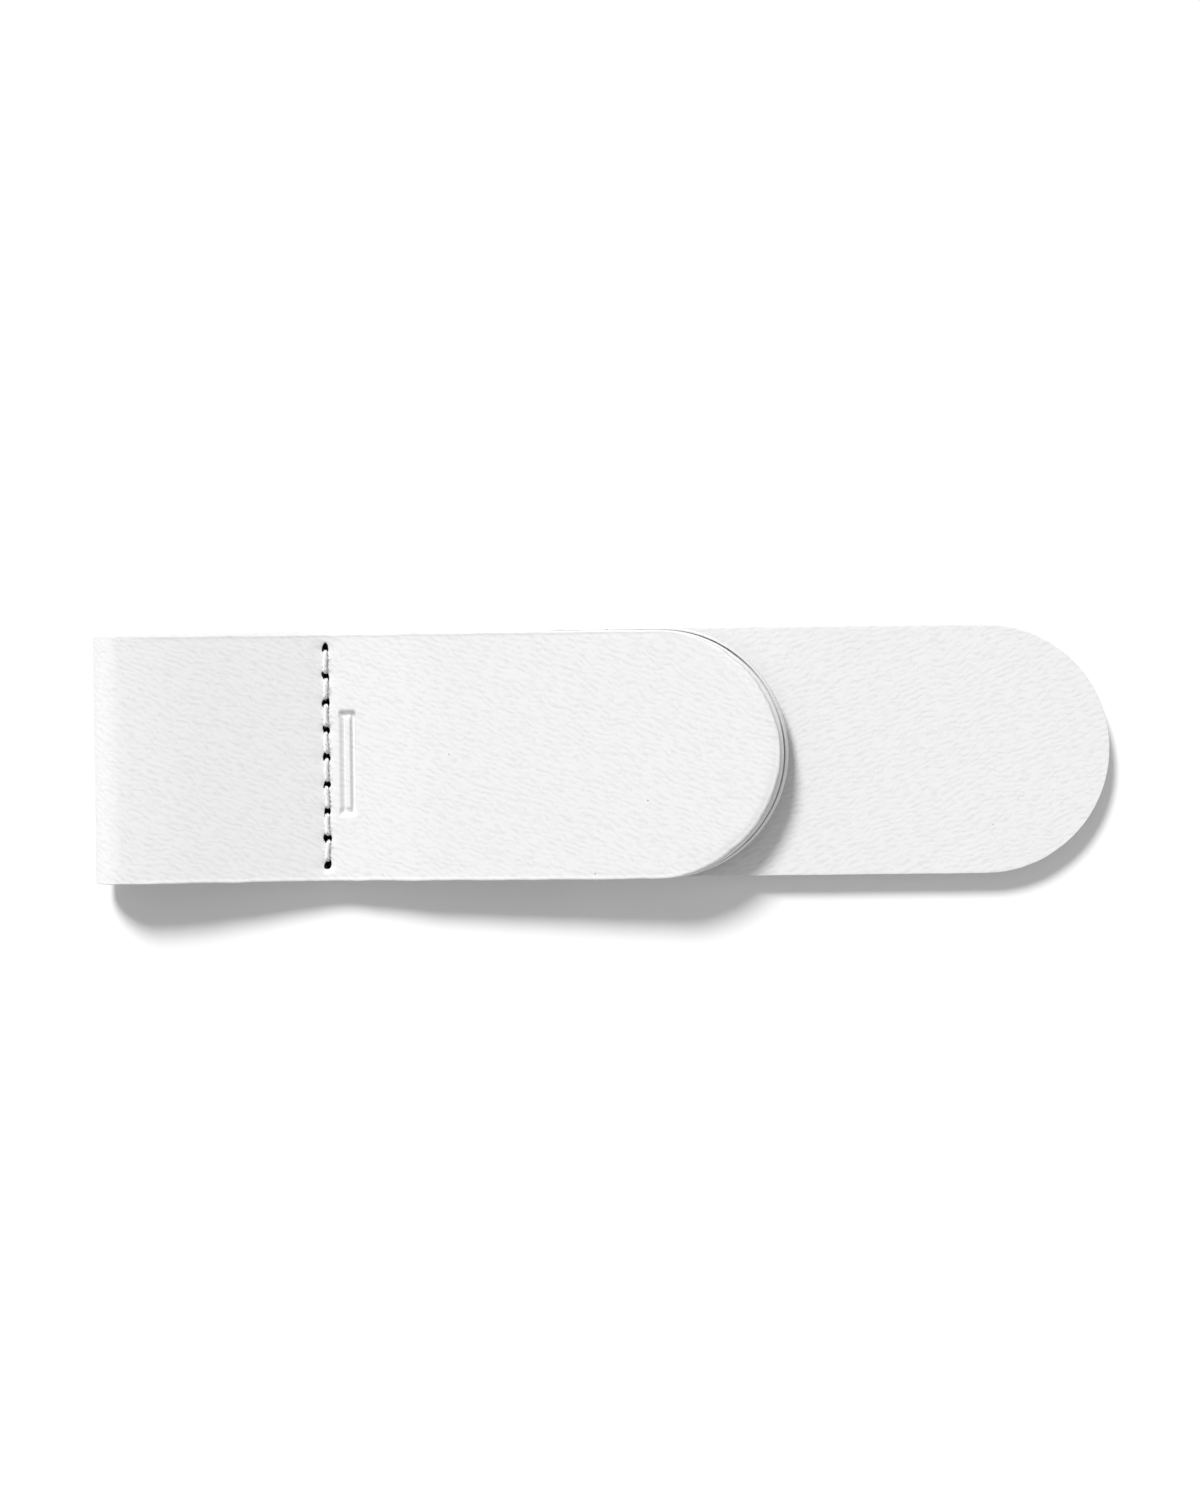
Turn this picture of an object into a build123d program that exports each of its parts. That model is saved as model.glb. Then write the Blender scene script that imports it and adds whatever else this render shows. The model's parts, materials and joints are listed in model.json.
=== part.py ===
import os
from math import atan2, cos, radians, sin, tan

from build123d import *

# Magnetic leather money clip: a two-ply leather strap, folded at its left end, sewn across behind
# the fold, with a magnet between the plies of the long back panel and of the shorter front flap.
# Frame: X along the strap from the fold to the back panel's tip, Y across it, Z up from the face
# that the back panel lies on. The origin is below the middle of the strap.

# Driving dimensions, millimetres and degrees. A reach is measured along X from the fold.
strap_length = 103.0         # folded length, from the fold to the back panel's tip
strap_width = 25.4
flap_reach = 70.1            # the flap's tip
seam_reach = 23.5            # the row of stitches
hinge_reach = 24.3           # the line where the flap starts to lift

outer_thickness = 0.9
lining_thickness = 0.7
core_thickness = 0.8         # board and magnet, between the plies
glue_line = 0.05             # between the two linings where the seam presses them together
hinge_gap = 0.1              # between the sewn plies and the flap's plies, along the strap

fold_radius = 2.95           # outside of the fold
loop_corner_height = 6.36    # where the loop's upper face, run on to the fold's end plane, meets it
dip_length = 1.6             # level stretch of the loop's upper face ahead of the hinge line
dip_radius = 8.0

flap_bend_reach = 33.1       # where the flap turns from its steep start to its long run
flap_start_slope = 8.5
flap_tip_height = 6.8        # top of the flap at its tip
flap_bend_radius = 40.0

back_ramp_reach = 46.9       # foot of the slope where the back lining climbs on to its board
flap_ramp_reach = 45.7       # the same on the flap
ramp_length = 2.4
ramp_radius = 2.0
core_margin = 0.6            # from the slope's end to the board
core_inset = 0.8             # from the leather's edge to the board's edge

magnet_diameter = 14.0
magnet_chamfer = 0.1
pocket_clearance = 0.1       # round the magnet

edge_round = 0.3             # worn edge of the outer leather's grain side

stitch_count = 8
stitch_pitch = 2.74
slit_width = 0.75            # needle slits, along the strap
slit_length = 0.95           # and across it
groove_width = 0.9           # the stitches lie in a groove in the outer leather, above and below
groove_depth = 0.6
thread_radius = 0.28
leg_radius = 0.3             # where a stitch turns down into its slit
thread_lift = 0.02           # between a stitch's end and the groove's floor
stitch_rise = 0.25           # middle of an upper stitch above its ends

bar_width = 1.8              # blank bar pressed into the flap, along the strap
bar_length = 10.8
bar_depth = 0.35
bar_from_hinge = 1.45        # middle of the bar, from the flap's start
bar_shift = -0.6             # middle of the bar, across the strap
rib_width = 0.8              # rib left standing inside the bar
rib_length = 9.8
rib_height = 0.25

cutter_height = 20.0         # taller than the clip

# Places worked out from them
fold_end = -strap_length / 2
back_tip = strap_length / 2
flap_tip = fold_end + flap_reach
seam_x = fold_end + seam_reach
hinge_x = fold_end + hinge_reach
flap_start = hinge_x + hinge_gap
flap_bend = fold_end + flap_bend_reach
dip_x = hinge_x - dip_length
tip_radius = strap_width / 2
magnet_x = flap_tip - tip_radius

seam_height = 2 * (outer_thickness + lining_thickness) + glue_line
seam_middle = seam_height / 2
core_top = outer_thickness + core_thickness
loop_slope = atan2(loop_corner_height - seam_height, dip_x - fold_end)
start_slope = radians(flap_start_slope)
flap_bend_height = seam_height + (flap_bend - flap_start) * tan(start_slope)
run_slope = atan2(flap_tip_height - flap_bend_height, flap_tip - flap_bend)
row_length = stitch_count * stitch_pitch


def loop_corners(depth):
    """Corners of the fold and of the loop's upper face, at a depth inside the strap's skin."""
    top = loop_corner_height - depth * (1 + sin(loop_slope)) / cos(loop_slope)
    dip = dip_x - depth * tan(loop_slope / 2)
    return [
        (fold_end + depth, depth),
        (fold_end + depth, top),
        (dip, seam_height - depth),
        (hinge_x, seam_height - depth),
    ]


def on_flap_run(x, depth):
    """The point of the flap's long run at x, at a depth inside its skin."""
    skin = flap_bend_height + (x - flap_bend) * tan(run_slope)
    return (x, skin - depth / cos(run_slope))


def flap_bend_corners(depth):
    """The flap's start and its bend, at a depth inside its skin."""
    middle_slope = (start_slope + run_slope) / 2
    reach = depth / cos((start_slope - run_slope) / 2)
    return [
        (flap_start, seam_height - depth / cos(start_slope)),
        (flap_bend + reach * sin(middle_slope), flap_bend_height - reach * cos(middle_slope)),
    ]


def plan_outline(start_x, tip_x, inset=0.0):
    """A strap seen from above: straight sides and one round tip."""
    half = strap_width / 2 - inset
    centre = tip_x - tip_radius
    with BuildSketch() as outline:
        with BuildLine():
            Line((start_x, -half), (centre, -half))
            ThreePointArc((centre, -half), (centre + half, 0), (centre, half))
            Polyline((centre, half), (start_x, half), (start_x, -half))
        make_face()
    return outline.sketch


def outline_edges(faces):
    """Edges of the strap's outline that bound the given skin faces: all that don't run across it."""
    return faces.edges().filter_by(Axis.Y, reverse=True)


def in_back_skin(face):
    """True for the faces that lie in the skin of the back panel, the fold or the loop."""
    centre = face.center()
    outward = face.normal_at(centre)
    fold_axis = Vector(fold_end + fold_radius, 0, fold_radius)
    is_wall = abs(outward.Y) > 0.5 or outward.X > 0.5
    return not is_wall and outward.dot(centre - fold_axis) > 0


# Plans that several pieces share
back_plan = plan_outline(fold_end, back_tip)
flap_plan = plan_outline(flap_start, flap_tip)

with BuildSketch() as needle_slits:
    with Locations((seam_x, 0)):
        with GridLocations(stitch_pitch, stitch_pitch, 1, stitch_count + 1):
            SlotOverall(slit_length, slit_width, rotation=90)

with BuildSketch() as stitch_groove:
    with Locations((seam_x, 0)):
        SlotOverall(row_length + groove_width, groove_width, rotation=90)

# The flap's two straight stretches, as planes that lie in its skin
start_plane = Plane(
    origin=(flap_start, 0, seam_height),
    x_dir=(cos(start_slope), 0, sin(start_slope)),
    z_dir=(-sin(start_slope), 0, cos(start_slope)),
)
magnet_skin_x, magnet_skin_z = on_flap_run(magnet_x, 0)
run_plane = Plane(
    origin=(magnet_skin_x, 0, magnet_skin_z),
    x_dir=(cos(run_slope), 0, sin(run_slope)),
    z_dir=(-sin(run_slope), 0, cos(run_slope)),
)

# Outer leather, back part: the back panel, the fold and the loop, as far as the hinge line
with BuildPart() as outer_leather_back:
    with BuildSketch(Plane.XZ):
        with BuildLine():
            FilletPolyline(
                (back_tip, 0),
                *loop_corners(0),
                radius=[fold_radius, fold_radius, dip_radius],
            )
            offset(amount=outer_thickness, side=Side.RIGHT)
        make_face()
    extrude(amount=strap_width, both=True)
    extrude(back_plan, amount=cutter_height, mode=Mode.INTERSECT)
    skin = outer_leather_back.faces().filter_by(in_back_skin)
    fillet(outline_edges(skin), edge_round)
    for floor in (0, seam_height - groove_depth):
        with BuildSketch(Plane.XY.offset(floor)):
            add(stitch_groove.sketch)
        extrude(amount=groove_depth, mode=Mode.SUBTRACT)
    extrude(needle_slits.sketch, amount=cutter_height, mode=Mode.SUBTRACT)
outer_leather_back.part.label = "outer_leather_back"

# Lining, back part: inside the outer leather, and over the board from its slope to the tip
with BuildPart() as lining_back:
    with BuildSketch(Plane.XZ):
        with BuildLine():
            FilletPolyline(
                (back_tip, core_top),
                (fold_end + back_ramp_reach + ramp_length, core_top),
                (fold_end + back_ramp_reach, outer_thickness),
                *loop_corners(outer_thickness),
                radius=[
                    ramp_radius,
                    ramp_radius,
                    fold_radius - outer_thickness,
                    fold_radius - outer_thickness,
                    dip_radius + outer_thickness,
                ],
            )
            offset(amount=lining_thickness, side=Side.RIGHT)
        make_face()
    extrude(amount=strap_width, both=True)
    extrude(back_plan, amount=cutter_height, mode=Mode.INTERSECT)
    extrude(needle_slits.sketch, amount=cutter_height, mode=Mode.SUBTRACT)
lining_back.part.label = "lining_back"

# Outer leather, flap: from the hinge line to the round tip, with a blank pressed bar near the seam
with BuildPart() as outer_leather_flap:
    with BuildSketch(Plane.XZ):
        with BuildLine():
            FilletPolyline(*flap_bend_corners(0), on_flap_run(flap_tip, 0), radius=flap_bend_radius)
            offset(amount=outer_thickness, side=Side.RIGHT)
        make_face()
    extrude(amount=strap_width, both=True)
    extrude(flap_plan, amount=cutter_height, mode=Mode.INTERSECT)
    skin = outer_leather_flap.faces().filter_by(lambda face: face.normal_at().Z > 0.9)
    fillet(outline_edges(skin), edge_round)
    with BuildSketch(start_plane):
        with Locations((bar_from_hinge, bar_shift)):
            Rectangle(bar_width, bar_length)
    extrude(amount=-bar_depth, mode=Mode.SUBTRACT)
    with BuildSketch(start_plane.offset(-bar_depth)):
        with Locations((bar_from_hinge, bar_shift)):
            SlotOverall(rib_length, rib_width, rotation=90)
    extrude(amount=rib_height)
outer_leather_flap.part.label = "outer_leather_flap"

# Lining, flap: under the outer leather, and under the board from its slope to the tip
with BuildPart() as lining_flap:
    with BuildSketch(Plane.XZ):
        with BuildLine():
            FilletPolyline(
                *flap_bend_corners(outer_thickness),
                on_flap_run(fold_end + flap_ramp_reach, outer_thickness),
                on_flap_run(fold_end + flap_ramp_reach + ramp_length, core_top),
                on_flap_run(flap_tip, core_top),
                radius=[flap_bend_radius - outer_thickness, ramp_radius, ramp_radius],
            )
            offset(amount=lining_thickness, side=Side.RIGHT)
        make_face()
    extrude(amount=strap_width, both=True)
    extrude(flap_plan, amount=cutter_height, mode=Mode.INTERSECT)
lining_flap.part.label = "lining_flap"

# Core boards: bonded board between the plies, set back from the leather's edge, with a pocket
back_core_start = fold_end + back_ramp_reach + ramp_length + core_margin
flap_core_start = fold_end + flap_ramp_reach + ramp_length + core_margin
pocket_radius = magnet_diameter / 2 + pocket_clearance

with BuildPart() as core_back:
    with BuildSketch(Plane.XY.offset(outer_thickness)):
        add(plan_outline(back_core_start, back_tip, core_inset))
        with Locations((magnet_x, 0)):
            Circle(pocket_radius, mode=Mode.SUBTRACT)
    extrude(amount=core_thickness)
core_back.part.label = "core_back"

with BuildPart() as core_flap:
    with BuildSketch(Plane.XZ):
        with BuildLine():
            Polyline(
                on_flap_run(flap_core_start, outer_thickness),
                on_flap_run(flap_tip, outer_thickness),
                on_flap_run(flap_tip, core_top),
                on_flap_run(flap_core_start, core_top),
                close=True,
            )
        make_face()
    extrude(amount=strap_width, both=True)
    extrude(
        plan_outline(flap_core_start, flap_tip, core_inset),
        amount=cutter_height,
        mode=Mode.INTERSECT,
    )
    with BuildSketch(run_plane):
        Circle(pocket_radius)
    extrude(amount=cutter_height, both=True, mode=Mode.SUBTRACT)
core_flap.part.label = "core_flap"

# Magnets: one disc in each pocket, as thick as its board
with BuildPart() as magnet_back:
    with BuildSketch(Plane((magnet_x, 0, outer_thickness))):
        Circle(magnet_diameter / 2)
    extrude(amount=core_thickness)
    chamfer(magnet_back.edges().filter_by(GeomType.CIRCLE), magnet_chamfer)
magnet_back.part.label = "magnet_back"

with BuildPart() as magnet_flap:
    with BuildSketch(run_plane.offset(-core_top)):
        Circle(magnet_diameter / 2)
    extrude(amount=core_thickness)
    chamfer(magnet_flap.edges().filter_by(GeomType.CIRCLE), magnet_chamfer)
magnet_flap.part.label = "magnet_flap"

# Needle thread: the upper stitches, each a low arc from slit to slit, and their legs down to the
# middle of the seam, where they lock with the bobbin thread
slit_rows = [-row_length / 2 + row * stitch_pitch for row in range(stitch_count + 1)]
stitch_end = seam_height - groove_depth + thread_lift + thread_radius
leg_plan = Plane((seam_x, 0, seam_middle))

with BuildPart() as needle_thread:
    with BuildSketch(leg_plan):
        with GridLocations(stitch_pitch, stitch_pitch, 1, stitch_count + 1):
            Circle(leg_radius)
    extrude(amount=stitch_end - seam_middle)
    with Locations([(seam_x, row, stitch_end) for row in slit_rows]):
        Sphere(leg_radius)
    for row in slit_rows[:-1]:
        with BuildLine() as stitch:
            ThreePointArc(
                (seam_x, row, stitch_end),
                (seam_x, row + stitch_pitch / 2, stitch_end + stitch_rise),
                (seam_x, row + stitch_pitch, stitch_end),
            )
        with BuildSketch(Plane(origin=stitch.line @ 0, z_dir=stitch.line % 0)):
            Circle(thread_radius)
        sweep()
needle_thread.part.label = "needle_thread"

# Bobbin thread: pulled straight in the lower groove, with legs up to the middle of the seam
with BuildPart() as bobbin_thread:
    with BuildSketch(Plane.XZ.offset(-row_length / 2)):
        with Locations((seam_x, thread_lift + thread_radius)):
            Circle(thread_radius)
    extrude(amount=row_length)
    with BuildSketch(leg_plan):
        with GridLocations(stitch_pitch, stitch_pitch, 1, stitch_count + 1):
            Circle(leg_radius)
    extrude(amount=thread_lift + thread_radius - seam_middle)
bobbin_thread.part.label = "bobbin_thread"

os.makedirs("parts", exist_ok=True)
for piece in (
    outer_leather_back,
    lining_back,
    outer_leather_flap,
    lining_flap,
    core_back,
    core_flap,
    magnet_back,
    magnet_flap,
    needle_thread,
    bobbin_thread,
):
    export_step(piece.part, f"parts/{piece.part.label}.step")
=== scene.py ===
import json
from math import atan2, cos, pi, radians, sin, tan

import bpy
import numpy as np
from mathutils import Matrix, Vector


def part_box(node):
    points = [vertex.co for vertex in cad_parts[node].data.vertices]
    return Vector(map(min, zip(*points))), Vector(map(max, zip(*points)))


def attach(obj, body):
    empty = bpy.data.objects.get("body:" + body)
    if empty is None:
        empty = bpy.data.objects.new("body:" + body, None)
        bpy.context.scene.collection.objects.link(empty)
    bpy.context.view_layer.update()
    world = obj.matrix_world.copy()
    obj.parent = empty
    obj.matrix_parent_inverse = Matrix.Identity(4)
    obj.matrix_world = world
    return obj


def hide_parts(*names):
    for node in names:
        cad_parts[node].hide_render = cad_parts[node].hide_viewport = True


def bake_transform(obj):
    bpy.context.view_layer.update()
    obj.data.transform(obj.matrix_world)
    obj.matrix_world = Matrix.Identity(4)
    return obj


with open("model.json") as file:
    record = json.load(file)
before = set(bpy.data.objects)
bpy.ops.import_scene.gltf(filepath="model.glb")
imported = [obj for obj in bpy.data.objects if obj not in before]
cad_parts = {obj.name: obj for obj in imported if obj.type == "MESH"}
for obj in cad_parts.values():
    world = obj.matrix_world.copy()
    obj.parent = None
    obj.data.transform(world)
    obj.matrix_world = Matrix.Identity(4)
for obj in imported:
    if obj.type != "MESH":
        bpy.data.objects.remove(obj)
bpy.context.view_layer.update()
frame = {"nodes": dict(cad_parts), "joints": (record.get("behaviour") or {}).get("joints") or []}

# Looks for the leather money clip. Lengths below are millimetres, and MM turns them into metres.
# A place on the strap is (s, y, depth): s runs along its skin from the back panel's tip, round the
# fold, over the seam and on to the flap's tip, y runs across, and depth goes in from the skin.
MM = 0.001


# ---------------------------------------------------------------- places read from the frame
def box_mm(node):
    low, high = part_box(node)
    return np.array(low) / MM, np.array(high) / MM


panel_low, panel_high = box_mm("outer_leather_back")
flap_high = box_mm("outer_leather_flap")[1]
board_low, board_high = box_mm("core_back")
thread_low, thread_high = box_mm("needle_thread")
hinge_point = np.array(frame["joints"][0]["pos_m"]) / MM

FOLD_END = panel_low[0]
BACK_TIP = panel_high[0]
FLAP_TIP = flap_high[0]
HALF_WIDTH = panel_high[1]
OUTER = board_low[2]                      # thickness of the outer leather
CORE = board_high[2] - board_low[2]       # thickness of the board between the plies
LINING = 0.7
SEAM_X = (thread_low[0] + thread_high[0]) / 2
HINGE_X = hinge_point[0]
SEAM_HEIGHT = hinge_point[2]

# ---------------------------------------------------------------- the strap's line, seen from the side
FOLD_RADIUS = 2.95
LOOP_CORNER_HEIGHT = 6.02
CROWN_X = FOLD_END + 7.0
CROWN_HEIGHT = 5.78
CROWN_RADIUS = 62.0
DIP_LENGTH = 1.6
DIP_RADIUS = 8.0
FLAP_BEND_X = FOLD_END + 33.1
FLAP_START_SLOPE = radians(8.5)
FLAP_BEND_RADIUS = 40.0
FLAP_BEND_HEIGHT = SEAM_HEIGHT + (FLAP_BEND_X - HINGE_X) * tan(FLAP_START_SLOPE)
PATH_STEP = 0.02


def rounded_path(corners, radii):
    """Close points of a line of straight runs whose inner corners are arcs."""
    corners = [np.array(c, float) for c in corners]
    ends = [corners[0]]
    points = []
    for before, corner, after, radius in zip(corners, corners[1:], corners[2:], radii):
        into = (corner - before) / np.linalg.norm(corner - before)
        out = (after - corner) / np.linalg.norm(after - corner)
        turn = atan2(into[0] * out[1] - into[1] * out[0], into @ out)
        reach = radius * tan(abs(turn) / 2)
        start = corner - into * reach
        side = np.array([-into[1], into[0]]) * np.sign(turn)
        centre = start + side * radius
        count = max(4, int(radius * abs(turn) / PATH_STEP))
        angles = np.linspace(0, turn, count)
        arm = start - centre
        run = max(2, int(np.linalg.norm(start - ends[-1]) / PATH_STEP))
        points.append(ends[-1] + np.linspace(0, 1, run, endpoint=False)[:, None] * (start - ends[-1]))
        points.append(
            centre
            + np.stack(
                [
                    arm[0] * np.cos(angles) - arm[1] * np.sin(angles),
                    arm[0] * np.sin(angles) + arm[1] * np.cos(angles),
                ],
                1,
            )
        )
        ends.append(points[-1][-1])
        points[-1] = points[-1][:-1]
    run = max(2, int(np.linalg.norm(corners[-1] - ends[-1]) / PATH_STEP))
    points.append(ends[-1] + np.linspace(0, 1, run)[:, None] * (corners[-1] - ends[-1]))
    return np.concatenate(points)


skin_line = rounded_path(
    [
        (BACK_TIP, 0),
        (FOLD_END, 0),
        (FOLD_END, LOOP_CORNER_HEIGHT),
        (CROWN_X, CROWN_HEIGHT),
        (HINGE_X - DIP_LENGTH, SEAM_HEIGHT),
        (HINGE_X, SEAM_HEIGHT),
        (FLAP_BEND_X, FLAP_BEND_HEIGHT),
        (FLAP_TIP, flap_high[2]),
    ],
    [FOLD_RADIUS, FOLD_RADIUS, CROWN_RADIUS, DIP_RADIUS, DIP_RADIUS, FLAP_BEND_RADIUS],
)
steps = np.linalg.norm(np.diff(skin_line, axis=0), axis=1)
skin_s = np.concatenate([[0], np.cumsum(steps)])
LENGTH = skin_s[-1]
tangent = np.gradient(skin_line, axis=0)
tangent /= np.linalg.norm(tangent, axis=1)[:, None]
skin_normal = np.stack([-tangent[:, 1], tangent[:, 0]], 1)


def place(s, y, depth):
    """Points in metres for places on the strap."""
    x = np.interp(s, skin_s, skin_line[:, 0])
    z = np.interp(s, skin_s, skin_line[:, 1])
    nx = np.interp(s, skin_s, skin_normal[:, 0])
    nz = np.interp(s, skin_s, skin_normal[:, 1])
    return np.stack([x - nx * depth, y, z - nz * depth], -1) * MM


def s_at(x, upper):
    """s where the strap passes x, on the upper run or on the back panel."""
    fold = int(np.argmin(skin_line[:, 0]))
    part = slice(fold, None) if upper else slice(0, fold)
    return float(skin_s[part][np.argmin(np.abs(skin_line[part, 0] - x))])


SEAM_S = s_at(SEAM_X, True)
SEAM_BACK_S = s_at(SEAM_X, False)
HINGE_S = s_at(HINGE_X, True)
FOLD_S = float(skin_s[int(np.argmin(skin_line[:, 0]))])
FLAP_RAMP_REACH = 45.7
BACK_RAMP_REACH = 46.9
FLAP_RAMP_S = s_at(FOLD_END + FLAP_RAMP_REACH, True)
BACK_RAMP_S = s_at(FOLD_END + BACK_RAMP_REACH, False)
RAMP_LENGTH = 2.4


def smooth(low, high, value):
    """0 below low, 1 above high, and smooth between them."""
    t = np.clip((value - low) / (high - low), 0, 1)
    return t * t * (3 - 2 * t)


def bump_at(value, middle, width):
    return np.exp(-(((value - middle) / width) ** 2))


def waves(s, seed, terms=7, longest=24.0, shortest=1.2):
    """A slow uneven wave along s, between about -1 and 1."""
    rng = np.random.RandomState(seed)
    total = np.zeros_like(np.asarray(s, float))
    for length in np.geomspace(longest, shortest, terms):
        total += (length / longest) ** 0.5 * np.sin(2 * pi * s / length + rng.uniform(0, 2 * pi))
    return total / 1.8


# ---------------------------------------------------------------- what varies over the strap
STITCHES = 8
PITCH = 2.74
SEAM_MIDDLE = -0.1
HAND_WAVER = 0.07
hand = np.random.default_rng(31)
HOLE_Y = [
    SEAM_MIDDLE + (STITCHES / 2 - number) * PITCH + HAND_WAVER * hand.uniform(-1, 1)
    for number in range(STITCHES + 1)
]
HOLE_LONG = 0.50
HOLE_WIDE = 0.38


def off_outline(s, y):
    """Distance in from the strap's outline."""
    beyond = np.maximum(HALF_WIDTH - s, 0) + np.maximum(s - (LENGTH - HALF_WIDTH), 0)
    return HALF_WIDTH - np.hypot(beyond, y)


def plies_apart(s):
    """Gap between the plies: the board's thickness over the boards, and none elsewhere."""
    over_flap = smooth(FLAP_RAMP_S, FLAP_RAMP_S + RAMP_LENGTH, s)
    over_back = 1 - smooth(BACK_RAMP_S - RAMP_LENGTH, BACK_RAMP_S, s)
    return CORE * (over_flap + over_back)


def flap_zone(s):
    return smooth(FLAP_RAMP_S, FLAP_RAMP_S + 8, s)


def rim(s, y):
    """1 at the outline, where the plies close round the board, and 0 over the board."""
    return 1 - smooth(0.30, 0.47, off_outline(s, y))


def shoulder(s, y):
    """How far the skin is worn down towards its cut edge, with the little lip that the cut raised."""
    inward = off_outline(s, y - outer_lay(s)) - outer_inset(s) - outer_roll(s)
    worn = 0.03 * (1 - smooth(0, 0.9, inward)) + 0.14 * tip_share(s) * np.clip(1 - inward / 0.9, 0, 1.3) ** 2
    lip = 0.035 * bump_at(inward, 0.12, 0.11)
    return flap_zone(s) * worn - smooth(FOLD_S + 5, FOLD_S + 9, s) * lip


def seam_pucker(s, y):
    """How far the stitches pull the grain in."""
    along = smooth(-12.1, -11.1, y) - smooth(10.6, 11.6, y)
    sunk = 0.16 * bump_at(s, SEAM_S, 0.62) * along
    for hole in HOLE_Y:
        sunk = sunk + 0.14 * np.exp(-(((s - SEAM_S) / 0.6) ** 2 + ((y - hole) / 0.6) ** 2))
    return sunk


BAR_LEFT = SEAM_S + 1.24
BAR_Y = -0.7
BAR_HALF_LENGTH = 5.35
# The bar's section, as distances from its left edge and depths
BAR_SECTION_AT = [0.0, 0.12, 0.52, 0.62, 0.74, 1.10, 1.20, 1.30, 1.64, 1.78, 1.92]
BAR_SECTION_DEPTH = [0.0, 0.03, 0.44, 0.40, 0.12, 0.08, 0.16, 0.56, 0.56, 0.04, 0.0]
BAR_END = 0.42
RIB_END = 0.75


def pressed_bar(s, y):
    """Depth of the blank bar pressed into the flap, with the rib left standing in it."""
    from_end = BAR_HALF_LENGTH - np.abs(y - BAR_Y)
    section = np.interp(s - BAR_LEFT, BAR_SECTION_AT, BAR_SECTION_DEPTH)
    floor = np.interp(s - BAR_LEFT, [0.0, 0.3, 1.6, 1.9], [0.0, 0.5, 0.5, 0.0])
    past_rib = 1 - smooth(RIB_END - 0.25, RIB_END, from_end)
    return (section * (1 - past_rib) + floor * past_rib) * smooth(0, BAR_END, from_end)


def outer_skin(s, y):
    """Depth of the outer leather's grain face."""
    swell = 0.02 * waves(s + 0.6 * y, 3, longest=31) * smooth(0, 3, off_outline(s, y))
    return shoulder(s, y) + seam_pucker(s, y) + pressed_bar(s, y) + swell * smooth(FOLD_S, FOLD_S + 6, s)


def outer_back(s, y):
    """Depth of the outer leather's inner face, which runs over the board's edge at the outline."""
    return OUTER + 0.5 * plies_apart(s) * rim(s, y)


def lining_skin(s, y):
    """Depth of the lining's face that is glued to the outer leather or to the board."""
    return OUTER + 0.01 + plies_apart(s) * (1 - 0.48 * rim(s, y))


def lining_inside(s, y):
    """Depth of the lining's grain face, which faces the banknotes."""
    ease = 0.02 * waves(s - 0.5 * y, 9, longest=27) * smooth(0.4, 3, off_outline(s, y))
    return OUTER + plies_apart(s) + LINING + ease


# How far each ply's edge stands in from the strap's outline, at its grain face and at its other face.
# The outer leather is narrower than the lining and lies a little to the front of it.
def tip_share(s):
    return smooth(LENGTH - 15, LENGTH - 2, s)


def outer_inset(s):
    at_fold = 0.05 * bump_at(s, FOLD_S + 4, 11)
    ragged = (0.03 + 0.05 * tip_share(s)) * waves(s, 17, terms=9, longest=9, shortest=0.5)
    return 0.18 + at_fold + 0.66 * tip_share(s) + ragged


def outer_inset_inner(s):
    return 0.16 + 0.36 * tip_share(s) + 0.012 * waves(s, 23, terms=8, longest=11, shortest=0.7)


def outer_roll(s):
    return 0.07 + 0.11 * tip_share(s)


def outer_lay(s):
    return -0.13 * smooth(FOLD_S - 8, FOLD_S, s) * (1 - 0.5 * tip_share(s))


def lining_inset(s):
    at_tip = 0.34 * tip_share(s)
    return 0.03 + at_tip + 0.012 * waves(s, 29, terms=8, longest=13, shortest=0.8)


def lining_inset_inner(s):
    return 0.04 + 0.012 * waves(s, 37, terms=8, longest=10, shortest=0.7)


def lining_roll(s):
    return 0.07 + 0 * s


def lining_lay(s):
    return 0 * s


def tight_roll(s):
    return 0.04 + 0 * s


# ---------------------------------------------------------------- meshes
def stations():
    """Rows along the strap: close together at the seam, the bar, the fold and the ramps."""
    def step(s):
        if SEAM_S - 0.9 < s < BAR_LEFT + 2.1:
            return 0.07
        if abs(s - SEAM_BACK_S) < 1.0:
            return 0.12
        if abs(s - FOLD_S) < 6 or HINGE_S < s < HINGE_S + 4:
            return 0.3
        return 0.7

    rows = [HALF_WIDTH]
    while rows[-1] < LENGTH - HALF_WIDTH:
        rows.append(rows[-1] + step(rows[-1]))
    rows = np.array(rows)
    return HALF_WIDTH + (rows - HALF_WIDTH) * (LENGTH - 2 * HALF_WIDTH) / (rows[-1] - HALF_WIDTH)


COLUMNS = 106
TIP_ROWS = 34
LIP_BAND = 0.4
# Where each ply is parted, on the underside of the loop. The back panel covers the same stretch of X as
# the flap, so a bend along X carries the flap alone only if the panel is a piece of its own.
SPLIT_S = (SEAM_BACK_S + FOLD_S) / 2


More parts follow.
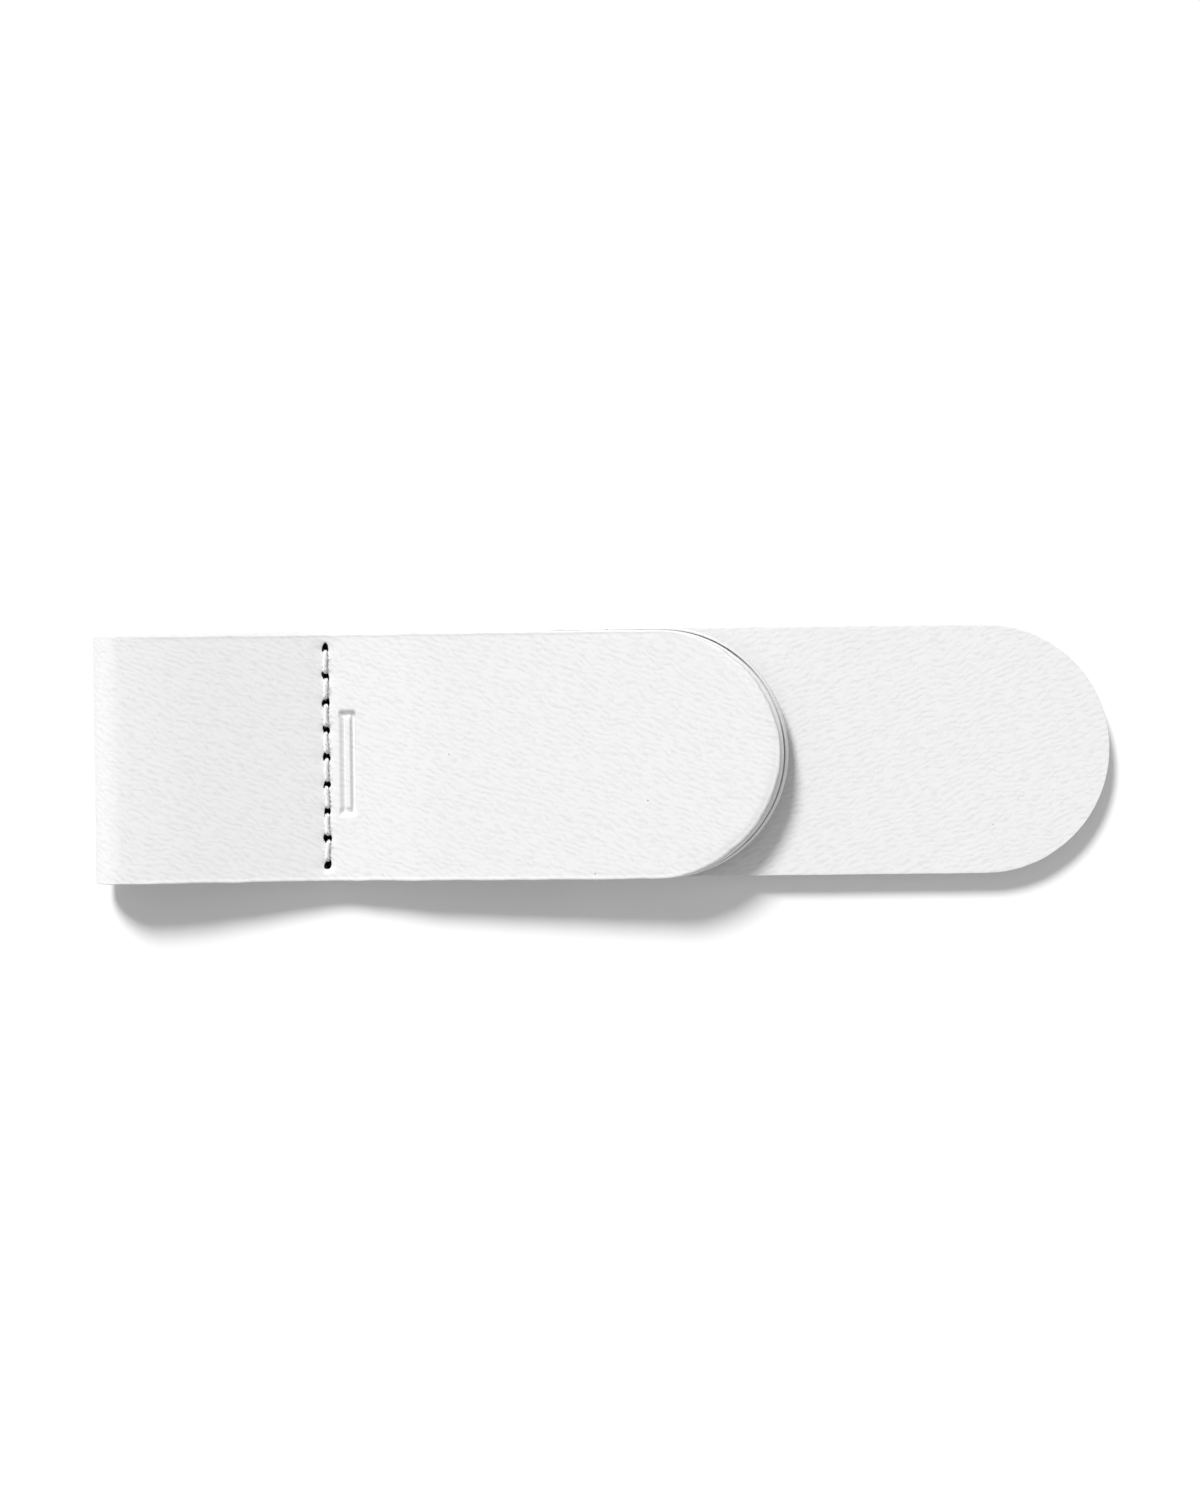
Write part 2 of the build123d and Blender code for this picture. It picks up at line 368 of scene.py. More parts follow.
def flat_grid(inset, lay):
    """s and y of a grid over the strap's outline, drawn in by inset(s) and moved across by lay(s)."""
    rows = stations()
    across = np.linspace(-1, 1, COLUMNS + 1)
    out = 1 - (1 - np.linspace(0, 1, TIP_ROWS + 1)[1:]) ** 1.5
    radius = HALF_WIDTH - inset(np.array([0.0, LENGTH]))

    def tip(reach, r):
        along = r * reach[:, None] * np.sqrt(1 - across[None, :] ** 2 / 2)
        side = r * across[None, :] * np.sqrt(1 - reach[:, None] ** 2 / 2)
        return along, side

    back_s, back_y = tip(out[::-1], radius[0])
    flap_s, flap_y = tip(out, radius[1])
    body_s = np.repeat(rows[:, None], COLUMNS + 1, 1)
    body_y = across[None, :] * (HALF_WIDTH - inset(rows))[:, None]
    s = np.concatenate([HALF_WIDTH - back_s, body_s, LENGTH - HALF_WIDTH + flap_s])
    y = np.concatenate([back_y, body_y, flap_y])
    return s, y + lay(s)


def border(shape):
    """Indices of a grid's border, once round."""
    rows, cols = shape
    index = np.arange(rows * cols).reshape(shape)
    return np.concatenate([index[:-1, 0], index[-1, :-1], index[:0:-1, -1], index[0, :0:-1]])


def move_out(s, y, inset, lay):
    """Border places moved straight out to another inset from the outline."""
    y = y - lay(s)
    beyond = np.where(s < HALF_WIDTH, s - HALF_WIDTH, np.maximum(s - (LENGTH - HALF_WIDTH), 0))
    reach = np.hypot(beyond, y)
    scale = (HALF_WIDTH - inset) / reach
    return s + beyond * (scale - 1), y * scale + lay(s)


def hole_reach(number, ds, dy):
    """Distance from a needle hole's middle over the hole's radius that way; each hole is a bit uneven."""
    rng = np.random.RandomState(60 + number)
    lean, wide, tall = rng.uniform(-0.25, 0.25), rng.uniform(0.9, 1.08), rng.uniform(0.9, 1.12)
    phase = rng.uniform(0, 2 * pi, 2)
    ds = (ds + lean * dy) / (HOLE_WIDE * wide)
    dy = dy / (HOLE_LONG * tall)
    angle = np.arctan2(dy, ds)
    return np.hypot(ds, dy) / (1 + 0.10 * np.sin(2 * angle + phase[0]) + 0.08 * np.sin(3 * angle + phase[1]))


def needle_holes():
    """Every needle hole, as its number and its place: the upper row and the same row in the back panel."""
    for seam in (SEAM_S, SEAM_BACK_S):
        for number, y in enumerate(HOLE_Y):
            yield number, seam, y


def in_hole(s, y):
    inside = np.zeros(s.shape, bool)
    for number, seam, middle in needle_holes():
        inside |= hole_reach(number, s - seam, y - middle) < 1
    return inside


def snap_to_holes(s, y, chosen):
    """Moves the chosen places on to the rim of the nearest needle hole."""
    for number, seam, middle in needle_holes():
        near = chosen & (np.hypot((s - seam) / HOLE_WIDE, (y - middle) / HOLE_LONG) < 2.0)
        ds, dy = s[near] - seam, y[near] - middle
        reach = hole_reach(number, ds, dy)
        s[near] = seam + ds / reach
        y[near] = middle + dy / reach


def ply(name, skin, inner, skin_inset, inner_inset, lay, skin_roll, inner_roll):
    """One ply as two closed meshes that meet under the loop: the back panel, and the loop with the flap."""
    def skin_start(s):
        return skin_inset(s) + skin_roll(s) + LIP_BAND

    def inner_start(s):
        return inner_inset(s) + inner_roll(s)

    top_s, top_y = flat_grid(skin_start, lay)
    low_s, low_y = flat_grid(inner_start, lay)
    shape = top_s.shape
    middle_s = (top_s[:-1, :-1] + top_s[1:, 1:]) / 2
    middle_y = (top_y[:-1, :-1] + top_y[1:, 1:]) / 2
    open_cell = in_hole(middle_s, middle_y)
    padded = np.pad(open_cell, 1)
    around = sum(padded[i:i + shape[0], j:j + shape[1]].astype(int) for i in (0, 1) for j in (0, 1))
    on_rim = (around > 0) & (around < 4)
    for s, y in ((top_s, top_y), (low_s, low_y)):
        snap_to_holes(s, y, on_rim)

    edge_s, edge_y = top_s.ravel()[border(shape)], top_y.ravel()[border(shape)]
    low_edge_s, low_edge_y = low_s.ravel()[border(shape)], low_y.ravel()[border(shape)]
    rings = []
    for share in (0.3, 0.55, 0.7, 0.85, 1.0):
        ring_s, ring_y = move_out(edge_s, edge_y, skin_start(edge_s) - LIP_BAND * share, lay)
        rings.append((ring_s, ring_y, skin(ring_s, ring_y), 0.0))
    skin_drop = 1.1 * skin_roll(edge_s)
    inner_drop = 1.1 * inner_roll(edge_s)
    for share, drop in ((0.38, 0.08), (0.71, 0.29), (0.92, 0.62), (1.0, 1.0)):
        inset = skin_start(edge_s) - LIP_BAND - skin_roll(edge_s) * share
        ring_s, ring_y = move_out(edge_s, edge_y, inset, lay)
        rings.append((ring_s, ring_y, skin(ring_s, ring_y) + drop * skin_drop, share * 0.4))
    for share in (0.2, 0.4, 0.6, 0.8):
        inset = skin_inset(edge_s) * (1 - share) + inner_inset(edge_s) * share
        ring_s, ring_y = move_out(edge_s, edge_y, inset, lay)
        near = skin(ring_s, ring_y) + skin_drop
        far = inner(ring_s, ring_y) - inner_drop
        rings.append((ring_s, ring_y, near * (1 - share) + far * share, 1.0))
    for share, drop in ((1.0, 1.0), (0.92, 0.62), (0.71, 0.29), (0.38, 0.08)):
        inset = inner_start(low_edge_s) - inner_roll(low_edge_s) * share
        ring_s, ring_y = move_out(low_edge_s, low_edge_y, inset, lay)
        rings.append((ring_s, ring_y, inner(ring_s, ring_y) - drop * inner_drop, share * 0.4))

    count = top_s.size
    places = [(top_s.ravel(), top_y.ravel(), skin(top_s, top_y).ravel(), np.zeros(count))]
    places += [(s, y, d, np.full(s.size, e)) for s, y, d, e in rings]
    places += [(low_s.ravel(), low_y.ravel(), inner(low_s, low_y).ravel(), np.zeros(count))]
    s, y, depth, edge = (np.concatenate(column) for column in zip(*places))

    index = np.arange(count).reshape(shape)
    quads = np.stack([index[:-1, :-1], index[1:, :-1], index[1:, 1:], index[:-1, 1:]], -1)
    faces = [quads[~open_cell][:, ::-1]]
    kinds = [np.zeros(len(faces[0]), int)]
    round_edge = border(shape)
    loops = [round_edge]
    loops += [count + k * round_edge.size + np.arange(round_edge.size) for k in range(len(rings))]
    low_offset = count + len(rings) * round_edge.size
    loops.append(low_offset + round_edge)
    for outer_loop, next_loop in zip(loops, loops[1:]):
        band = np.stack(
            [outer_loop, np.roll(outer_loop, -1), np.roll(next_loop, -1), next_loop], -1
        )
        faces.append(band)
        kinds.append(np.zeros(len(band), int))
    faces.append(quads[~open_cell] + low_offset)
    kinds.append(np.zeros(len(faces[-1]), int))
    # Walls round the needle holes take the second material, which paints shade into the holes.
    walls = []
    for axis in (0, 1):
        first = open_cell.take(range(open_cell.shape[axis] - 1), axis)
        second = open_cell.take(range(1, open_cell.shape[axis]), axis)
        for i, j in zip(*np.nonzero(first != second)):
            if axis == 0:
                p, q = index[i + 1, j], index[i + 1, j + 1]
                hole_first = first[i, j]
            else:
                p, q = index[i + 1, j + 1], index[i, j + 1]
                hole_first = first[i, j]
            if hole_first:
                p, q = q, p
            walls.append((p, q, q + low_offset, p + low_offset))
    faces.append(np.array(walls))
    kinds.append(np.ones(len(walls), int))
    faces = np.concatenate(faces)
    kinds = np.concatenate(kinds)

    row = TIP_ROWS + int(np.argmin(np.abs(stations() - SPLIT_S)))
    split = top_s[row, 0]
    top_row, low_row = index[row], index[row] + low_offset
    caps = np.stack([top_row[:-1], top_row[1:], low_row[1:], low_row[:-1]], -1).tolist()
    for first, last, column in ((low_row[0], top_row[0], 0), (top_row[-1], low_row[-1], -1)):
        at_border = int(np.nonzero(round_edge == index[row, column])[0][0])
        round_side = [count + k * round_edge.size + at_border for k in range(len(rings))]
        caps.append([first] + (round_side[::-1] if column == 0 else round_side) + [last])

    points = place(s, y, depth)
    pattern = np.stack([s, y], 1)
    same = 1e-6
    parts = (
        ("panel", s[faces].max(1) < split + same, caps),
        ("front", s[faces].min(1) > split - same, [cap[::-1] for cap in caps]),
    )
    made = []
    for part, kept, part_caps in parts:
        polygons = part_caps + faces[kept].tolist()
        used = np.unique(np.concatenate([faces[kept].ravel(), np.concatenate(part_caps)]))
        renumber = np.full(s.size, -1)
        renumber[used] = np.arange(used.size)
        polygons = [renumber[polygon].tolist() for polygon in polygons]
        part_kinds = np.concatenate([np.zeros(len(part_caps), int), kinds[kept]])
        made.append(mesh_object(
            f"{name}_{part}", points[used], polygons, part_kinds, pattern[used], edge[used], len(part_caps)
        ))
    return made


def mesh_object(name, points, faces, kinds, pattern, edge, flat):
    """A smooth mesh with a flat-pattern UV map and an edge attribute; its first few faces are flat."""
    mesh = bpy.data.meshes.new(name)
    mesh.from_pydata(points.tolist(), [], [face[::-1] for face in faces])
    mesh.polygons.foreach_set("material_index", kinds.astype(np.int32))
    mesh.polygons.foreach_set("use_smooth", np.arange(len(faces)) >= flat)
    uv = mesh.uv_layers.new(name="pattern")
    corners = np.zeros(len(mesh.loops), np.int32)
    mesh.loops.foreach_get("vertex_index", corners)
    uv.data.foreach_set("uv", pattern[corners].astype(np.float32).ravel())
    mesh.attributes.new("edge", "FLOAT", "POINT").data.foreach_set("value", edge.astype(np.float32))
    mesh.validate()
    mesh.update()
    thing = bpy.data.objects.new(name, mesh)
    bpy.context.scene.collection.objects.link(thing)
    return thing


# ---------------------------------------------------------------- thread
STRANDS = 3
STRAND_RADIUS = 0.11
STRAND_OFFSET = 0.125
TWIST_PITCH = 1.35
STRAND_SIDES = 8


def tube(path, radius):
    """Points and faces of a closed round tube along a path; radius may vary along it."""
    forward = np.gradient(path, axis=0)
    forward /= np.linalg.norm(forward, axis=1)[:, None]
    side = np.cross(forward, [0.31, 0.17, 0.93])
    side /= np.linalg.norm(side, axis=1)[:, None]
    up = np.cross(side, forward)
    angles = np.arange(STRAND_SIDES) * 2 * pi / STRAND_SIDES
    ring = side[:, None, :] * np.cos(angles)[None, :, None] + up[:, None, :] * np.sin(angles)[None, :, None]
    radius = np.broadcast_to(radius, len(path))
    points = path[:, None, :] + ring * radius[:, None, None]
    index = np.arange(points.shape[0] * STRAND_SIDES).reshape(-1, STRAND_SIDES)
    after = np.roll(index, -1, 1)
    sides = np.stack([index[:-1], after[:-1], after[1:], index[1:]], -1).reshape(-1, 4)
    return points.reshape(-1, 3), sides.tolist() + [index[0][::-1].tolist(), index[-1].tolist()]


RISE_LENGTH = 0.30
DIVE_LENGTH = 0.62


def stitch_line(start, end, rise, depth, rng):
    """One stitch: steeply up out of a hole, over the leather and slowly down into the next hole."""
    t = np.linspace(0, 1, 70)
    length = abs(end - start)
    from_start, to_end = t * length, (1 - t) * length
    height = rise * np.clip(np.sin(pi * t), 0, 1) ** 0.5
    drop = depth * (1 - smooth(0, RISE_LENGTH, from_start) * smooth(0, DIVE_LENGTH, to_end))
    lean = rng.uniform(-0.07, 0.07) * (1 - 2 * t) + 0.03 * np.sin(2 * pi * t + rng.uniform(0, 6))
    return np.stack([SEAM_X + lean, start + (end - start) * t, height - drop], 1)


def thread_mesh(name, surface, rise, depth, flip, fibres, seed):
    """All the stitches of one thread, each a twisted rope, with loose fibres."""
    points, faces, depths = [], [], []
    offset = 0
    rng = np.random.RandomState(seed)
    for start, end in zip(HOLE_Y, HOLE_Y[1:]):
        line = stitch_line(start - 0.12, end + 0.10, rise, depth, rng)
        forward = np.gradient(line, axis=0)
        forward /= np.linalg.norm(forward, axis=1)[:, None]
        side = np.cross(forward, [1.0, 0, 0])
        side /= np.linalg.norm(side, axis=1)[:, None]
        along = np.concatenate([[0], np.cumsum(np.linalg.norm(np.diff(line, axis=0), axis=1))])
        phase = rng.uniform(0, 2 * pi)
        for strand in range(STRANDS):
            angle = 2 * pi * (along / TWIST_PITCH + strand / STRANDS) + phase
            shift = side * np.cos(angle)[:, None] + np.array([1.0, 0, 0]) * np.sin(angle)[:, None]
            swing = np.sin(2 * pi * along / 2.1 + rng.uniform(0, 6))
            loose = 1 + 0.35 * swing * np.sin(pi * along / along[-1])
            path = line + shift * (STRAND_OFFSET * loose)[:, None]
            made, made_faces = tube(path, STRAND_RADIUS)
            points.append(made)
            depths.append(np.repeat(path[:, 2], STRAND_SIDES))
            faces += [[v + offset for v in face] for face in made_faces]
            offset += len(made)
        for fibre in range(fibres):
            at = rng.randint(16, 56)
            side = rng.choice([-1, 1])
            t = np.linspace(0, 1, 9)[:, None]
            out = np.array([side * rng.uniform(0.25, 0.6), rng.uniform(-0.35, 0.45), rng.uniform(-0.16, 0.0)])
            curl = np.array([0.0, rng.uniform(-0.25, 0.25), 0.0])
            path = line[at] + [side * 0.1, 0, 0.1] + out * t + curl * t * t
            made, made_faces = tube(path, 0.013)
            points.append(made)
            depths.append(np.repeat(path[:, 2], STRAND_SIDES))
            faces += [[v + offset for v in face] for face in made_faces]
            offset += len(made)
    points = np.concatenate(points)
    depths = np.concatenate(depths)
    points[:, 2] = surface + flip * points[:, 2]
    mesh = bpy.data.meshes.new(name)
    mesh.from_pydata((points * MM).tolist(), [], faces if flip < 0 else [face[::-1] for face in faces])
    mesh.polygons.foreach_set("use_smooth", np.ones(len(faces), bool))
    # The sunk attribute is how far each point lies below the leather; the thread material paints shade from
    # it.
    mesh.attributes.new("sunk", "FLOAT", "POINT").data.foreach_set(
        "value", np.clip(-depths, 0, 1).astype(np.float32)
    )
    mesh.validate()
    mesh.update()
    thing = bpy.data.objects.new(name, mesh)
    bpy.context.scene.collection.objects.link(thing)
    return thing


# ---------------------------------------------------------------- materials
def new_material(name):
    material = bpy.data.materials.new(name)
    material.use_nodes = True
    nodes = material.node_tree.nodes
    return material, nodes, material.node_tree.links, nodes["Principled BSDF"]


def math_node(nodes, links, operation, a, b=None, clamp=False):
    node = nodes.new("ShaderNodeMath")
    node.operation = operation
    node.use_clamp = clamp
    for socket, value in zip(node.inputs, (a, b)):
        if value is None:
            continue
        if isinstance(value, (int, float)):
            socket.default_value = value
        else:
            links.new(value, socket)
    return node.outputs[0]


def noise_node(nodes, links, vector, scale, detail=2.0, roughness=0.5, distortion=0.0):
    node = nodes.new("ShaderNodeTexNoise")
    node.inputs["Scale"].default_value = scale
    node.inputs["Detail"].default_value = detail
    node.inputs["Roughness"].default_value = roughness
    node.inputs["Distortion"].default_value = distortion
    links.new(vector, node.inputs["Vector"])
    return node


def mix_colour(nodes, links, factor, a, b):
    node = nodes.new("ShaderNodeMix")
    node.data_type = "RGBA"
    for socket, value in ((node.inputs[0], factor), (node.inputs[6], a), (node.inputs[7], b)):
        if isinstance(value, (int, float)):
            socket.default_value = value
        elif isinstance(value, tuple):
            socket.default_value = (*value, 1)
        else:
            links.new(value, socket)
    return node.outputs[2]


def ramp(nodes, links, value, stops):
    node = nodes.new("ShaderNodeMapRange")
    node.interpolation_type = "SMOOTHSTEP"
    (from_low, to_low), (from_high, to_high) = stops
    node.inputs["From Min"].default_value = from_low
    node.inputs["From Max"].default_value = from_high
    node.inputs["To Min"].default_value = to_low
    node.inputs["To Max"].default_value = to_high
    links.new(value, node.inputs["Value"])
    return node.outputs["Result"]


def leather(name, colour, turn, cut_line):
    """White leather with a fine wavy grain, pores and a raw cut edge; the grain's creases carry painted
    shade.
    """
    material, nodes, links, shader = new_material(name)
    pattern = nodes.new("ShaderNodeUVMap")
    pattern.uv_map = "pattern"
    ripples = []
    for angle, pitch, sway, off in ((turn, 0.60, 1.0, 0.0), (turn - radians(20), 0.66, 1.1, 31.0)):
        lay = nodes.new("ShaderNodeMapping")
        lay.inputs["Rotation"].default_value = (0, 0, -angle)
        lay.inputs["Location"].default_value = (off, 2 * off, 0)
        links.new(pattern.outputs["UV"], lay.inputs["Vector"])
        axes = nodes.new("ShaderNodeSeparateXYZ")
        links.new(lay.outputs[0], axes.inputs[0])
        slow = noise_node(nodes, links, lay.outputs[0], 0.16, 1)
        middle = noise_node(nodes, links, lay.outputs[0], 0.5, 1)
        quick = noise_node(nodes, links, lay.outputs[0], 1.6, 1)
        phase = math_node(nodes, links, "MULTIPLY", axes.outputs["Y"], 1 / pitch)
        slow_part = math_node(nodes, links, "MULTIPLY", slow.outputs["Fac"], 2.8 * sway)
        phase = math_node(nodes, links, "ADD", phase, slow_part)
        middle_part = math_node(nodes, links, "MULTIPLY", middle.outputs["Fac"], 1.5 * sway)
        phase = math_node(nodes, links, "ADD", phase, middle_part)
        quick_part = math_node(nodes, links, "MULTIPLY", quick.outputs["Fac"], 1.0 * sway)
        phase = math_node(nodes, links, "ADD", phase, quick_part)
        wrapped = math_node(nodes, links, "FRACT", phase)
        swing = math_node(nodes, links, "ABSOLUTE", math_node(nodes, links, "SUBTRACT", wrapped, 0.5))
        crease = ramp(nodes, links, swing, ((0.0, 1.0), (0.42, 0.0)))
        cut_off = noise_node(nodes, links, lay.outputs[0], 0.95, 2, 0.6)
        keep = ramp(nodes, links, cut_off.outputs["Fac"], ((0.36, 0.1), (0.60, 1.0)))
        ripples.append(math_node(nodes, links, "MULTIPLY", crease, keep))
    valley = math_node(nodes, links, "MULTIPLY", math_node(nodes, links, "ADD", *ripples), 0.75)
    fine = noise_node(nodes, links, pattern.outputs["UV"], 5.5, 3, 0.6)

    pores = nodes.new("ShaderNodeTexVoronoi")
    pores.inputs["Scale"].default_value = 0.75
    links.new(pattern.outputs["UV"], pores.inputs["Vector"])
    chosen = nodes.new("ShaderNodeSeparateColor")
    links.new(pores.outputs["Color"], chosen.inputs[0])
    few = math_node(nodes, links, "GREATER_THAN", chosen.outputs[0], 0.945)
    spot = ramp(nodes, links, pores.outputs["Distance"], ((0.03, 1.0), (0.075, 0.0)))
    pore = math_node(nodes, links, "MULTIPLY", few, spot)

    edge = nodes.new("ShaderNodeAttribute")
    edge.attribute_name = "edge"
    raw = ramp(nodes, links, edge.outputs["Fac"], ((0.42, 0.0), (0.7, 1.0)))
    line_in = ramp(nodes, links, edge.outputs["Fac"], ((0.05, 0.0), (0.2, 1.0)))
    line_out = ramp(nodes, links, edge.outputs["Fac"], ((0.42, 1.0), (0.62, 0.0)))
    line = math_node(nodes, links, "MULTIPLY", line_in, line_out)

    tint = noise_node(nodes, links, pattern.outputs["UV"], 0.08, 3)
    base = mix_colour(nodes, links, tint.outputs["Fac"], tuple(c * 0.985 for c in colour), colour)
    # Painted shade: the grain's creases are darkened in colour, standing for the shade in them, and the bump
    # gives the rest.
    crease_shade = math_node(nodes, links, "MULTIPLY", valley, 0.8)
    base = mix_colour(nodes, links, crease_shade, base, tuple(c * 0.86 for c in colour))
    speckle = ramp(nodes, links, fine.outputs["Fac"], ((0.35, 0.0), (0.65, 0.5)))
    base = mix_colour(nodes, links, speckle, base, tuple(c * 0.96 for c in colour))
    base = mix_colour(nodes, links, math_node(nodes, links, "MULTIPLY", pore, 0.8), base, (0.16, 0.15, 0.14))
    fibre = noise_node(nodes, links, pattern.outputs["UV"], 3.2, 4, 0.7)
    dark_fibre = tuple(c * 0.93 for c in colour)
    pale_fibre = tuple(min(1, c * 1.04) for c in colour)
    cut = mix_colour(nodes, links, fibre.outputs["Fac"], dark_fibre, pale_fibre)
    base = mix_colour(nodes, links, raw, base, cut)
    on_line = math_node(nodes, links, "MULTIPLY", line, cut_line)
    base = mix_colour(nodes, links, on_line, base, tuple(c * 0.45 for c in colour))
    links.new(base, shader.inputs["Base Color"])

    height = math_node(nodes, links, "MULTIPLY", valley, -1.0)
    fine_height = math_node(nodes, links, "MULTIPLY", fine.outputs["Fac"], 0.5)
    height = math_node(nodes, links, "ADD", height, fine_height)
    height = math_node(nodes, links, "SUBTRACT", height, math_node(nodes, links, "MULTIPLY", pore, 2.0))
    fibre_height = math_node(nodes, links, "SUBTRACT", fibre.outputs["Fac"], 0.5)
    fibre_height = math_node(nodes, links, "MULTIPLY", fibre_height, raw)
    height = math_node(nodes, links, "ADD", height, fibre_height)
    bump = nodes.new("ShaderNodeBump")
    bump.inputs["Distance"].default_value = 0.03 * MM
    bump.inputs["Strength"].default_value = 0.25
    links.new(height, bump.inputs["Height"])
    links.new(bump.outputs[0], shader.inputs["Normal"])
    rough = ramp(nodes, links, fine.outputs["Fac"], ((0.3, 0.5), (0.7, 0.62)))
    links.new(rough, shader.inputs["Roughness"])
    shader.inputs["Specular IOR Level"].default_value = 0.35
    return material


def needle_hole():
    """The wall of a needle hole, coloured near-black as painted shade for the deep narrow hole."""
    material, nodes, links, shader = new_material("needle_hole")
    place_of = nodes.new("ShaderNodeTexCoord")
    # Painted shade: the near-black colour stands for the shade deep in the hole, and the noise only varies it
    # a little.
    shade_speckle = noise_node(nodes, links, place_of.outputs["Object"], 4000, 2)
    painted_hole_shade = mix_colour(nodes, links, shade_speckle.outputs["Fac"], (0.002, 0.002, 0.002), (0.012, 0.011, 0.01))
    links.new(painted_hole_shade, shader.inputs["Base Color"])
    shader.inputs["Roughness"].default_value = 0.9
    shader.inputs["Specular IOR Level"].default_value = 0.1
    return material


def thread_material():
    material, nodes, links, shader = new_material("waxed_thread")
    place_of = nodes.new("ShaderNodeTexCoord")
    fuzz = noise_node(nodes, links, place_of.outputs["Object"], 9000, 3, 0.6)
    sunk = nodes.new("ShaderNodeAttribute")
    sunk.attribute_name = "sunk"
    base = mix_colour(nodes, links, fuzz.outputs["Fac"], (0.68, 0.68, 0.67), (0.95, 0.95, 0.94))
    # Painted shade: the thread is darkened towards near-black as it sinks into a needle hole, where shade
    # falls.
    sink_shade = ramp(nodes, links, sunk.outputs["Fac"], ((0.02, 0.0), (0.4, 1.0)))
    links.new(mix_colour(nodes, links, sink_shade, base, (0.004, 0.004, 0.004)), shader.inputs["Base Color"])
    bump = nodes.new("ShaderNodeBump")
    bump.inputs["Distance"].default_value = 0.02 * MM
    bump.inputs["Strength"].default_value = 0.6
    links.new(fuzz.outputs["Fac"], bump.inputs["Height"])
    links.new(bump.outputs[0], shader.inputs["Normal"])
    shader.inputs["Roughness"].default_value = 0.6
    return material


def board_material():
    material, nodes, links, shader = new_material("bonded_board")
    place_of = nodes.new("ShaderNodeTexCoord")
    fibre = noise_node(nodes, links, place_of.outputs["Object"], 1800, 5, 0.65)
    board_colour = mix_colour(nodes, links, fibre.outputs["Fac"], (0.06, 0.052, 0.047), (0.10, 0.088, 0.08))
    links.new(board_colour, shader.inputs["Base Color"])
    shader.inputs["Roughness"].default_value = 0.85
    return material


def plating_material():
    material, nodes, links, shader = new_material("nickel_plating")
    place_of = nodes.new("ShaderNodeTexCoord")
    haze = noise_node(nodes, links, place_of.outputs["Object"], 900, 4, 0.6)
    nickel_colour = mix_colour(nodes, links, haze.outputs["Fac"], (0.56, 0.55, 0.52), (0.68, 0.67, 0.63))
    links.new(nickel_colour, shader.inputs["Base Color"])
    links.new(ramp(nodes, links, haze.outputs["Fac"], ((0.3, 0.24), (0.7, 0.38))), shader.inputs["Roughness"])
    shader.inputs["Metallic"].default_value = 1.0
    return material


# ---------------------------------------------------------------- the pieces
WHITE = (0.79, 0.79, 0.79)
outer_leather = leather("outer_leather", WHITE, radians(-14), 0.35)
lining_leather = leather("lining_leather", WHITE, radians(-10), 0.15)
# The needle hole walls get a material that paints shade into the holes.
hole_shade_look = needle_hole()
thread_look = thread_material()

outer = ply(
    "outer_leather", outer_skin, outer_back, outer_inset, outer_inset_inner, outer_lay, outer_roll, tight_roll
)
lining = ply(
    "lining_leather", lining_skin, lining_inside, lining_inset, lining_inset_inner, lining_lay, tight_roll,
    lining_roll,
)

for (panel, front), look, slot, back_node, flap_node in (
    (outer, outer_leather, "outer_leather", "outer_leather_back", "outer_leather_flap"),
    (lining, lining_leather, "lining_leather", "lining_back", "lining_flap"),
):
    for piece in (panel, front):
        piece.data.materials.append(look)
        piece.data.materials.append(hole_shade_look)
    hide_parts(back_node)
    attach(panel, "back")
    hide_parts(back_node, flap_node)
    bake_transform(front)

needle = thread_mesh("upper_stitches", SEAM_HEIGHT - 0.1, 0.22, 1.35, 1, 4, 41)
bobbin = thread_mesh("lower_stitches", 0.42, 0.04, 1.2, -1, 0, 83)
for piece, node in ((needle, "needle_thread"), (bobbin, "bobbin_thread")):
    piece.data.materials.append(thread_look)
    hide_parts(node)
    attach(piece, "back")

for look, names in (
    (board_material(), ("core_back", "core_flap")),
    (plating_material(), ("magnet_back", "magnet_flap")),
):
    for name in names:
        node = frame["nodes"][name]
        node.data.materials.clear()
        node.data.materials.append(look)

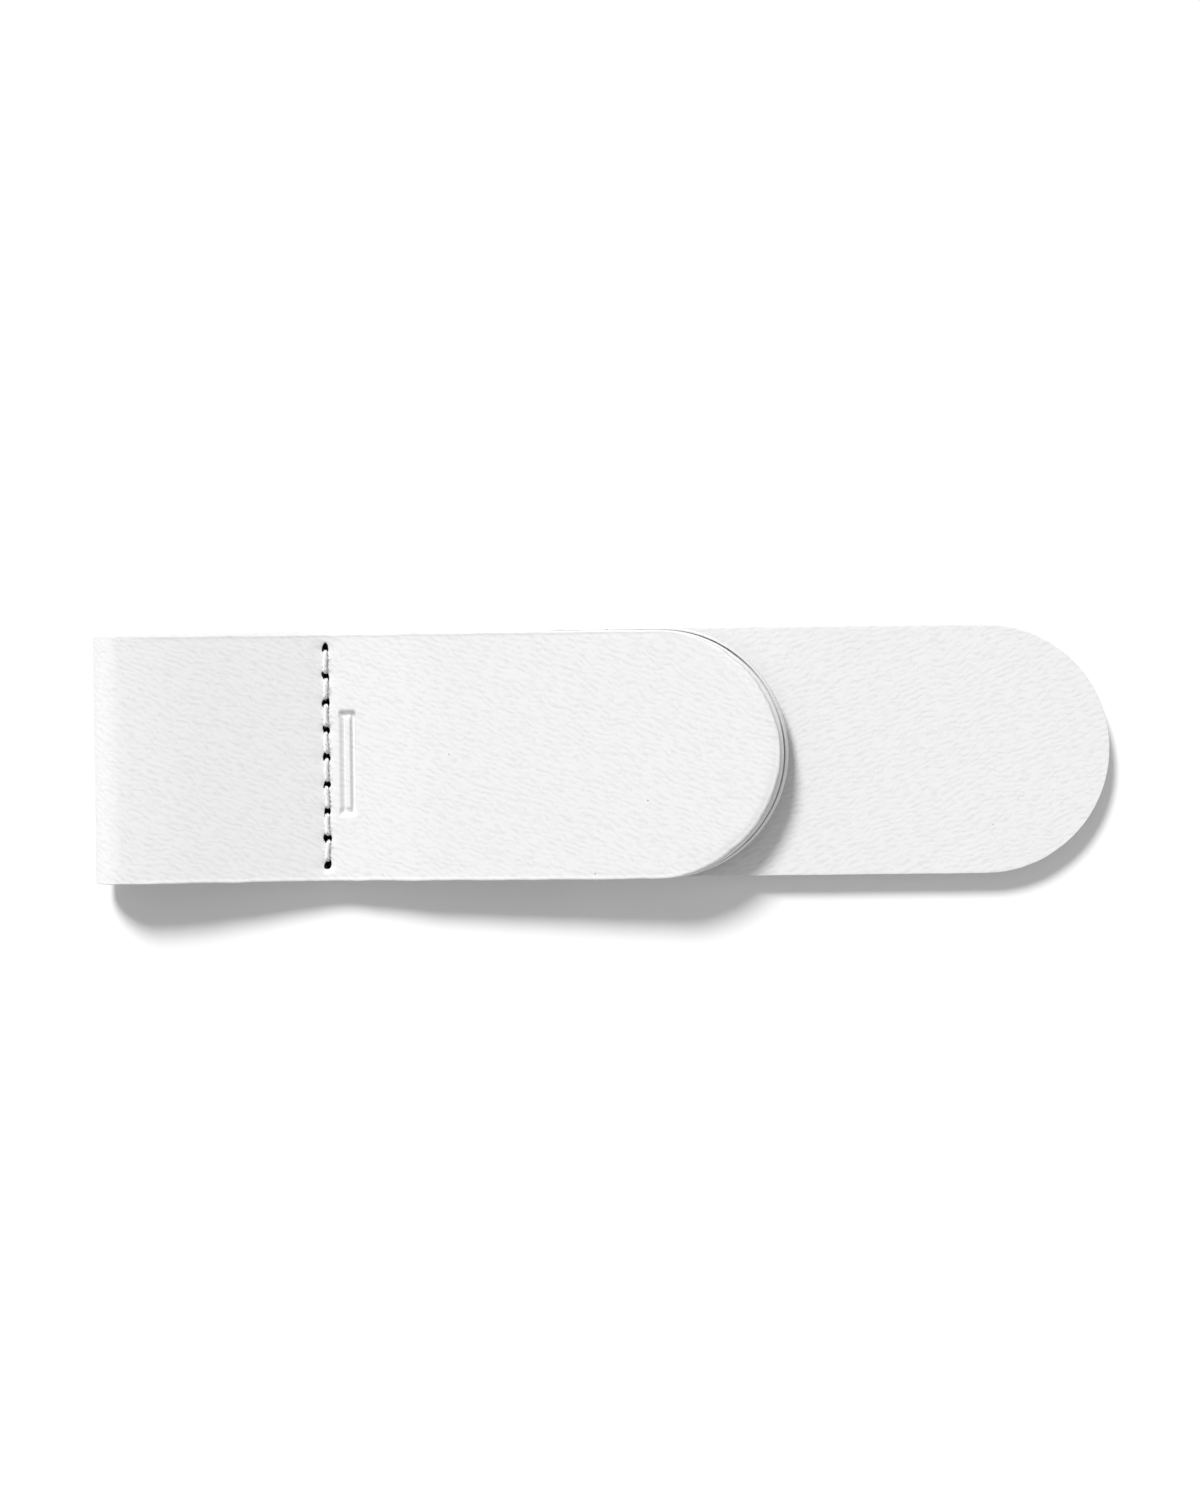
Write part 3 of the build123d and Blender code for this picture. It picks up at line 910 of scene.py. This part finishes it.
# ---------------------------------------------------------------- floor, light and camera
FLOOR_SIDE = 3.0
FLOOR_COLOUR = (0.90, 0.90, 0.90, 1)
ROOM_LIGHT = 0.38
floor_mesh = bpy.data.meshes.new("floor")
corner = FLOOR_SIDE / 2
floor_corners = [(-corner, -corner, 0), (corner, -corner, 0), (corner, corner, 0), (-corner, corner, 0)]
floor_mesh.from_pydata(floor_corners, [], [(0, 1, 2, 3)])
floor = bpy.data.objects.new("floor", floor_mesh)
bpy.context.scene.collection.objects.link(floor)
floor_look, _, _, floor_shader = new_material("floor")
floor_shader.inputs["Base Color"].default_value = FLOOR_COLOUR
floor_shader.inputs["Roughness"].default_value = 0.9
floor_shader.inputs["Specular IOR Level"].default_value = 0.0
floor_mesh.materials.append(floor_look)

world = bpy.data.worlds.new("studio")
world.use_nodes = True
world.node_tree.nodes["Background"].inputs["Color"].default_value = (1, 1, 1, 1)
world.node_tree.nodes["Background"].inputs["Strength"].default_value = ROOM_LIGHT
bpy.context.scene.world = world


def soft_sun(name, strength, direction, spread):
    """A distant light from a direction, spread over an angle in degrees."""
    sun = bpy.data.lights.new(name, "SUN")
    sun.energy = strength
    sun.angle = radians(spread)
    lamp = bpy.data.objects.new(name, sun)
    lamp.rotation_mode = "QUATERNION"
    lamp.rotation_quaternion = Vector(direction).to_track_quat("Z", "Y")
    bpy.context.scene.collection.objects.link(lamp)


soft_sun("key_light", 3.25, (-0.48, 0.98, 1.0), 14)
soft_sun("overhead_light", 0.25, (-0.1, 0.2, 1.0), 110)

CAMERA_HEIGHT = 270.0
LENS = 63.26
SENSOR = 36.0
TILT = radians(1.2)
ROLL = radians(-0.64)
AIM = (-0.24, 0.26)
camera_data = bpy.data.cameras.new("camera")
camera_data.sensor_width = SENSOR
camera_data.lens = LENS
camera_data.clip_start = 0.01
camera = bpy.data.objects.new("camera", camera_data)
camera.location = (
    AIM[0] * MM,
    (AIM[1] + CAMERA_HEIGHT * tan(TILT)) * MM,
    CAMERA_HEIGHT * MM,
)
camera.rotation_euler = (-TILT, 0, ROLL)
bpy.context.scene.collection.objects.link(camera)
bpy.context.scene.camera = camera
bpy.context.scene.view_settings.view_transform = "Standard"
